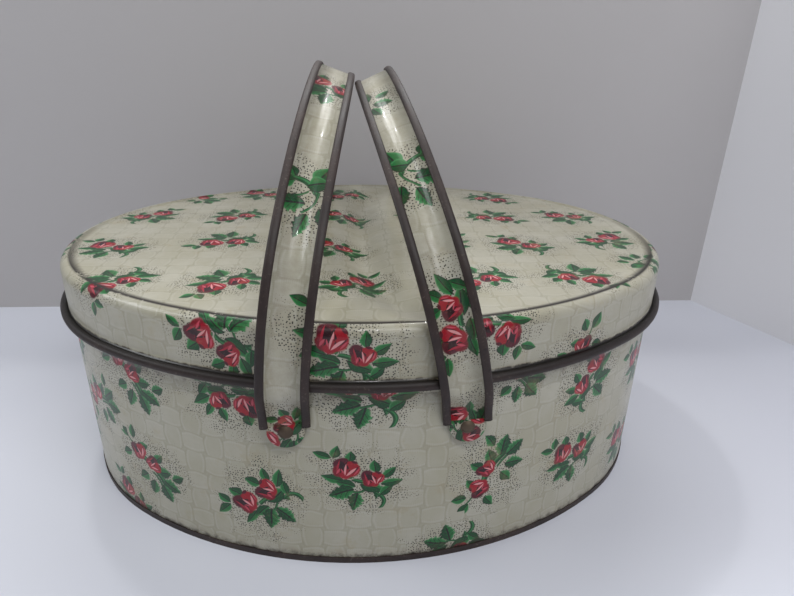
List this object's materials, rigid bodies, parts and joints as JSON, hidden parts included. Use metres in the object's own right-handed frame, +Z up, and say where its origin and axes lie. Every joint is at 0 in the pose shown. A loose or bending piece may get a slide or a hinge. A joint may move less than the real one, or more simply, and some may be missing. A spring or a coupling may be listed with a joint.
{
  "type": "oval sewing tin",
  "caption": "Oval tinplate box for bobbins and sewing things, with a slip-over lid and two riveted strap handles that swing outwards and down.",
  "frame": {"origin": "middle of the oval on the surface that the box stands on, with the lid on and the handles up", "axes": "+X along the oval's length, towards the right end; -Y the front; +Z up"},
  "size_m": [0.2988, 0.2386, 0.1899],
  "materials": {
    "printed_tin": "glossy printed tinplate, cream with small rosebud sprigs and black dots",
    "brown_enamel": "dark brown satin enamel",
    "rivet_steel": "dull bronze-brown rivet heads",
    "washer_steel": "plain tinned steel"
  },
  "bodies": {
    "box": {"body_wall": "printed_tin", "bottom_plate": "brown_enamel", "front_left_rivet": "rivet_steel", "front_right_rivet": "rivet_steel", "rear_left_rivet": "rivet_steel", "rear_right_rivet": "rivet_steel", "front_left_washer": "washer_steel", "front_right_washer": "washer_steel", "rear_left_washer": "washer_steel", "rear_right_washer": "washer_steel"},
    "lid": {"lid": "printed_tin"},
    "left_handle": {"left_handle": "printed_tin"},
    "right_handle": {"right_handle": "printed_tin"}
  },
  "joints": [
    {"name": "lid_lift", "type": "slide", "parent": "box", "child": "lid", "axis": [0, 0, 1], "range_m": [0, 0.0125]},
    {"name": "left_handle_swing", "type": "hinge", "parent": "box", "child": "left_handle", "pos_m": [-0.0338, 0, 0.0655], "axis": [0, -1, 0], "range_deg": [0, 118]},
    {"name": "right_handle_swing", "type": "hinge", "parent": "box", "child": "right_handle", "pos_m": [0.0338, 0, 0.0655], "axis": [0, 1, 0], "range_deg": [0, 124]}
  ]
}
